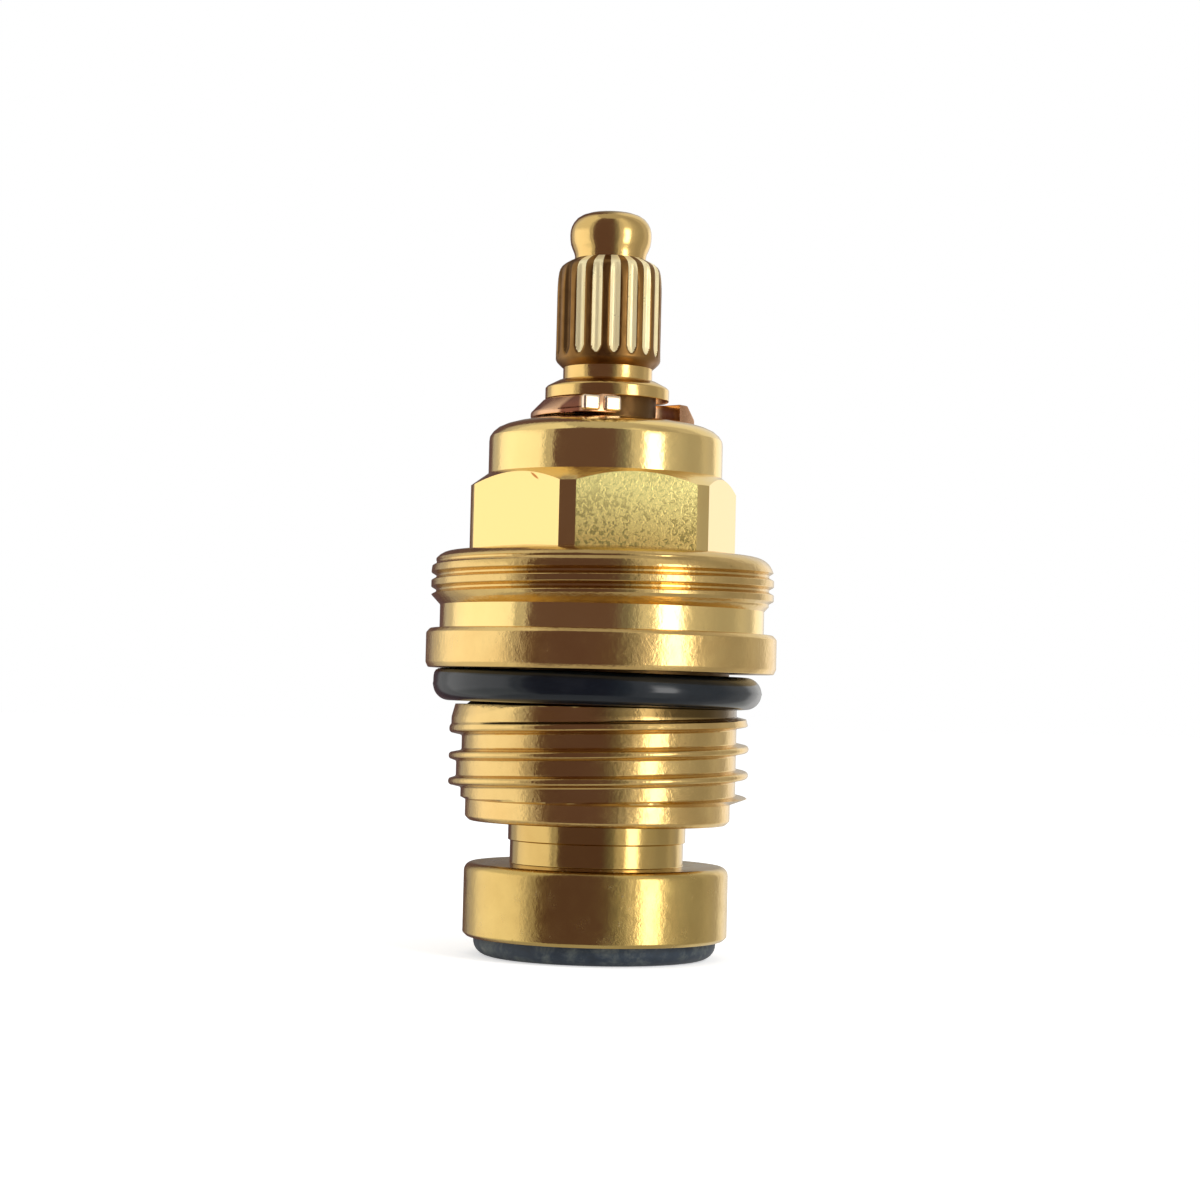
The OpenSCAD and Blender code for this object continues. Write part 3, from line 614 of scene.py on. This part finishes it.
# The neck is smoother and is painted a little darker, a painted shade.
neck_shade_brass = turned_brass("piston_neck_painted_shade_brass", (0.62, 0.43, 0.145), (0.52, 0.33, 0.10), 0.12,
                          0.5e-6, 8e-6)
DISC, DISC_ROUND, CUP, RELIEF, NECK, LAND_EDGE, RING_SEAT, NUT_BORE, SCREW_HOLE = (
    9.22, 0.6, 8.52, 6.05, 6.2, 7.18, 5.57, 4.05, 2.05)
DISC_Z, CUP_Z, DISC_TOP_Z, NECK_Z, LAND_Z, NUT_Z, NUT_TOP_Z = 1.3, 3.2, 6.4, 8.0, 12.7, 17.3, 25.0
NUT_FLATS = 6.18
cup_and_land = lathe(eased([
    (CUP, DISC_Z), (8.95, DISC_Z), (DISC, DISC_Z + 0.25),
    *rounded((DISC - DISC_ROUND, DISC_TOP_Z - DISC_ROUND), DISC_ROUND, 0, 90, 6),
    (RELIEF, DISC_TOP_Z), (RELIEF, NECK_Z), (NECK, NECK_Z), (NECK, LAND_Z), (6.88, LAND_Z),
    (LAND_EDGE, 13.0), (LAND_EDGE, 14.16), (RING_SEAT, 14.16), (RING_SEAT, 15.84), (LAND_EDGE, 15.84),
    (LAND_EDGE, 17.0), (6.88, NUT_Z), (4.65, NUT_Z), (NUT_BORE, 17.0), (NUT_BORE, 8.35),
    (SCREW_HOLE, 8.35), (SCREW_HOLE, CUP_Z), (CUP, CUP_Z)], 0.07), closed=True)
nut = cut_hexagon(lathe([
    (NUT_BORE, 16.9), (LAND_EDGE, 16.9), (LAND_EDGE, 24.7), (6.6, NUT_TOP_Z), (4.65, NUT_TOP_Z),
    (NUT_BORE, 24.7)], closed=True), NUT_FLATS)
# The neck and its relief take the neck's finish and its painted shade.
for face in cup_and_land.faces:
    middle = face.calc_center_median()
    if 6.5 * MM < middle.z < 12.6 * MM and middle.xy.length > 5.9 * MM:
        face.material_index = 1
finish_piece([cup_and_land, nut], "piston_turned", "piston", piston_brass, neck_shade_brass,
             replaces=["piston"], slot="piston_brass")


# Seat washer
# Matte grey-blue rubber, moulded and then rubbed and dusty from handling. It stands out of the
# piston's cup and closes the tap's seat.
matte = Finish("seat_washer_rubber", 0.0, 0.62)
smear = matte.noise(520, 6.0, rough=0.68, distortion=0.4)
shade = matte.steps(smear, [(0.3, (0.013, 0.021, 0.035)), (0.48, (0.032, 0.047, 0.068)),
                            (0.6, (0.10, 0.12, 0.125)), (0.72, (0.19, 0.20, 0.185))])
normal = matte.bump(matte.noise(3600, 4.0), 5e-6)
dry = matte.steps(smear, [(0.35, 0.5), (0.65, 0.75)])
washer_rubber = matte.set(Base_Color=shade, Normal=normal, Roughness=dry)
WASHER, WASHER_ROUND, WASHER_TOP_Z, HEAD_ROOM, HEAD_Z = 8.45, 1.0, 3.2, 3.55, 1.7
disc = lathe([
    (HEAD_ROOM, 0.12), (3.6, 0.03), (3.7, 0),
    *rounded((WASHER - WASHER_ROUND, WASHER_ROUND), WASHER_ROUND, -90, 0, 8),
    (WASHER, 3.12), (8.38, WASHER_TOP_Z), (2.1, WASHER_TOP_Z), (SCREW_HOLE, 3.15),
    (SCREW_HOLE, HEAD_Z), (HEAD_ROOM, HEAD_Z)], closed=True)
finish_piece([disc], "washer", "piston", washer_rubber, replaces=["seat_washer"],
             slot="washer_rubber")


# Washer screw
# A slotted screw, turned from brass, that holds the seat washer in the piston's cup. Its head is
# sunk below the sealing face.
dress("washer_screw", turned_brass("washer_screw_brass", (0.88, 0.61, 0.24), (0.7, 0.44, 0.16), 0.24,
                                   1.2e-6))


# Studio
# A pale floor and a white surround. A tall drum round the part, which only gloss sees, gives the
# brass the bands of a room: dark behind the camera, pale at the left and a bright lamp at the right.
def set_up(name, shell, material):
    """Makes an object of the studio."""
    data = bpy.data.meshes.new(name)
    shell.to_mesh(data)
    shell.free()
    data.materials.append(material)
    made = bpy.data.objects.new(name, data)
    bpy.context.scene.collection.objects.link(made)
    return made


FACING = math.radians(-104.8)  # the camera's direction from the part
DARK, PALE = (1.0, 0.62, 0.66), (1.0, 0.98, 0.95)
# Degrees round from the camera's side, and the light there
BANDS = [
    (-180, 0.28), (-168, 0.13), (-150, 0.14), (-144, 0.5), (-129, 0.62), (-125, 1.15), (-110, 1.35),
    (-64, 1.2), (-61, 0.42), (-57, 0.42), (-55.5, 0.9), (-54, 0.8), (-52, 0.13), (8, 0.13), (17, 0.2),
    (23, 0.3), (26, 0.62), (29, 0.75), (32, 0.62), (38, 0.8), (41, 4.5), (54, 4.5), (58, 0.8),
    (66, 0.58), (90, 0.42), (105, 0.44), (112, 0.6), (130, 0.52), (137, 1.2), (155, 1.2), (180, 0.28)]
BRIGHTEST, DRUM, DRUM_FOOT, DRUM_TOP = 5.0, 340, -360, 900
# The bands' middle height, and how far from it they begin and end to fade, in metres
BANDS_MIDDLE, FADES_FROM, FADES_TO = 0.02, 0.10, 0.15
drum_light = Finish("drum_light", 0.0, 1.0, (0, 0, 0))
turned = drum_light.node("Mapping", {"Vector": drum_light.place, "Rotation": (0, 0, -FACING)}).outputs[0]
angle = drum_light.node("TexGradient", {0: turned}, gradient_type="RADIAL").outputs["Fac"]
stops = []
for degrees, level in BANDS:
    tint = DARK if level < 0.2 else PALE
    stops.append((degrees / 360 + 0.5, [level / BRIGHTEST * c for c in tint]))
bands = drum_light.steps(angle, stops)
height = drum_light.node("SeparateXYZ", {0: drum_light.place}).outputs[2]
faded = drum_light.math("ABSOLUTE", drum_light.math("SUBTRACT", height, BANDS_MIDDLE), 0.0)
faded = drum_light.steps(faded, [(FADES_FROM, 0.0), (FADES_TO, 1.0)])
bands = drum_light.mix(faded, bands, (0.17, 0.17, 0.16), "DARKEN")
off_middle = drum_light.math("SUBTRACT", height, (DRUM_FOOT + DRUM_TOP) / 2 * MM)
off_middle = drum_light.math("ABSOLUTE", off_middle, 0.0)
ends = drum_light.math("GREATER_THAN", off_middle, (DRUM_TOP - DRUM_FOOT) / 2 * MM - 0.001)
drum_light.set(Emission_Color=drum_light.mix(ends, bands, [0.5 / BRIGHTEST * c for c in PALE]))
drum_light.shader.inputs["Specular IOR Level"].default_value = 0.0
drum_light.shader.inputs["Emission Strength"].default_value = BRIGHTEST
wall = lathe([(0, DRUM_FOOT), (DRUM, DRUM_FOOT), (DRUM, DRUM_TOP), (0, DRUM_TOP)], 96)
drum = set_up("drum", wall, drum_light.material)
drum.visible_camera = drum.visible_diffuse = drum.visible_transmission = drum.visible_shadow = False

# The floor keeps to the washer, on which the part stands, so it goes with the piston
FLOOR_REACH, FLOOR_Z = 1.5, -0.00002  # metres
paper = Finish("floor_white", 0.0, 1.0, (0.9, 0.9, 0.9))
paper.shader.inputs["Specular IOR Level"].default_value = 0.0
paper.shader.inputs["Emission Color"].default_value = (1, 1, 1, 1)
seen = paper.node("LightPath").outputs["Is Camera Ray"]
sheet = bmesh.new()
bmesh.ops.create_grid(sheet, x_segments=1, y_segments=1, size=FLOOR_REACH)
bmesh.ops.translate(sheet, verts=sheet.verts, vec=(0, 0, FLOOR_Z))
floor = set_up("floor", sheet, paper.set(Emission_Strength=paper.math("MULTIPLY", seen, 0.5)))
floor.visible_glossy = False
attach(floor, "piston")

world = bpy.data.worlds.new("studio")
bpy.context.scene.world = world
world.use_nodes = True
tree = world.node_tree
background = tree.nodes["Background"]
background.inputs["Color"].default_value = (1, 1, 1, 1)
# White to the camera and in what shows it, and a little less as a light on the part
path = tree.nodes.new("ShaderNodeLightPath")
level = path.outputs["Is Camera Ray"]
for ray in ("Is Glossy Ray", "Is Transmission Ray"):
    both = tree.nodes.new("ShaderNodeMath")
    both.operation = "ADD"
    both.use_clamp = True
    tree.links.new(level, both.inputs[0])
    tree.links.new(path.outputs[ray], both.inputs[1])
    level = both.outputs[0]
strength = tree.nodes.new("ShaderNodeMapRange")
strength.inputs["To Min"].default_value = 0.6
strength.inputs["To Max"].default_value = 1.0
tree.links.new(level, strength.inputs["Value"])
tree.links.new(strength.outputs[0], background.inputs["Strength"])

# Name, degrees round from the camera, height, watts and width. Lengths are in metres
LAMPS = (("key_lamp", 47, 0.3, 1.3, 0.22), ("fill_lamp", -80, 0.35, 0.5, 0.4))
LAMPS_AWAY, LAMPS_AIM = 0.5, Vector((0, 0, 0.025))
for name, degrees, height, power, size in LAMPS:
    lamp = bpy.data.lights.new(name, "AREA")
    lamp.energy, lamp.size = power, size
    holder = bpy.data.objects.new(name, lamp)
    bpy.context.scene.collection.objects.link(holder)
    around = FACING + math.radians(degrees)
    holder.location = (LAMPS_AWAY * math.cos(around), LAMPS_AWAY * math.sin(around), height)
    holder.visible_glossy = False
    holder.rotation_mode = "QUATERNION"
    holder.rotation_quaternion = (LAMPS_AIM - holder.location).to_track_quat("-Z", "Y")


# Camera
# It stands level with the flange O-ring, a little to the left of the front flat, and leans by
# 1.4 degrees as the photograph does. Its distances are in metres.
EYE_AWAY, EYE_Z, AIM_Z, AIM_LEFT, LEAN = 0.18927, 0.018, 0.02485, 0.00016, 1.37
camera_data = bpy.data.cameras.new("camera")
camera_data.sensor_width = 36
camera_data.lens = 81
camera_data.clip_start = 0.005
camera = bpy.data.objects.new("camera", camera_data)
bpy.context.scene.collection.objects.link(camera)
bpy.context.scene.camera = camera
right = Vector((math.cos(math.radians(-14.8)), math.sin(math.radians(-14.8)), 0))
camera.location = Vector((math.cos(FACING) * EYE_AWAY, math.sin(FACING) * EYE_AWAY, EYE_Z))
aim = Vector((0, 0, AIM_Z)) - right * AIM_LEFT
level_view = (aim - camera.location).to_track_quat("-Z", "Y")
camera.rotation_mode = "QUATERNION"
camera.rotation_quaternion = level_view @ Quaternion((0, 0, 1), math.radians(LEAN))

bpy.context.scene.view_settings.view_transform = "Standard"
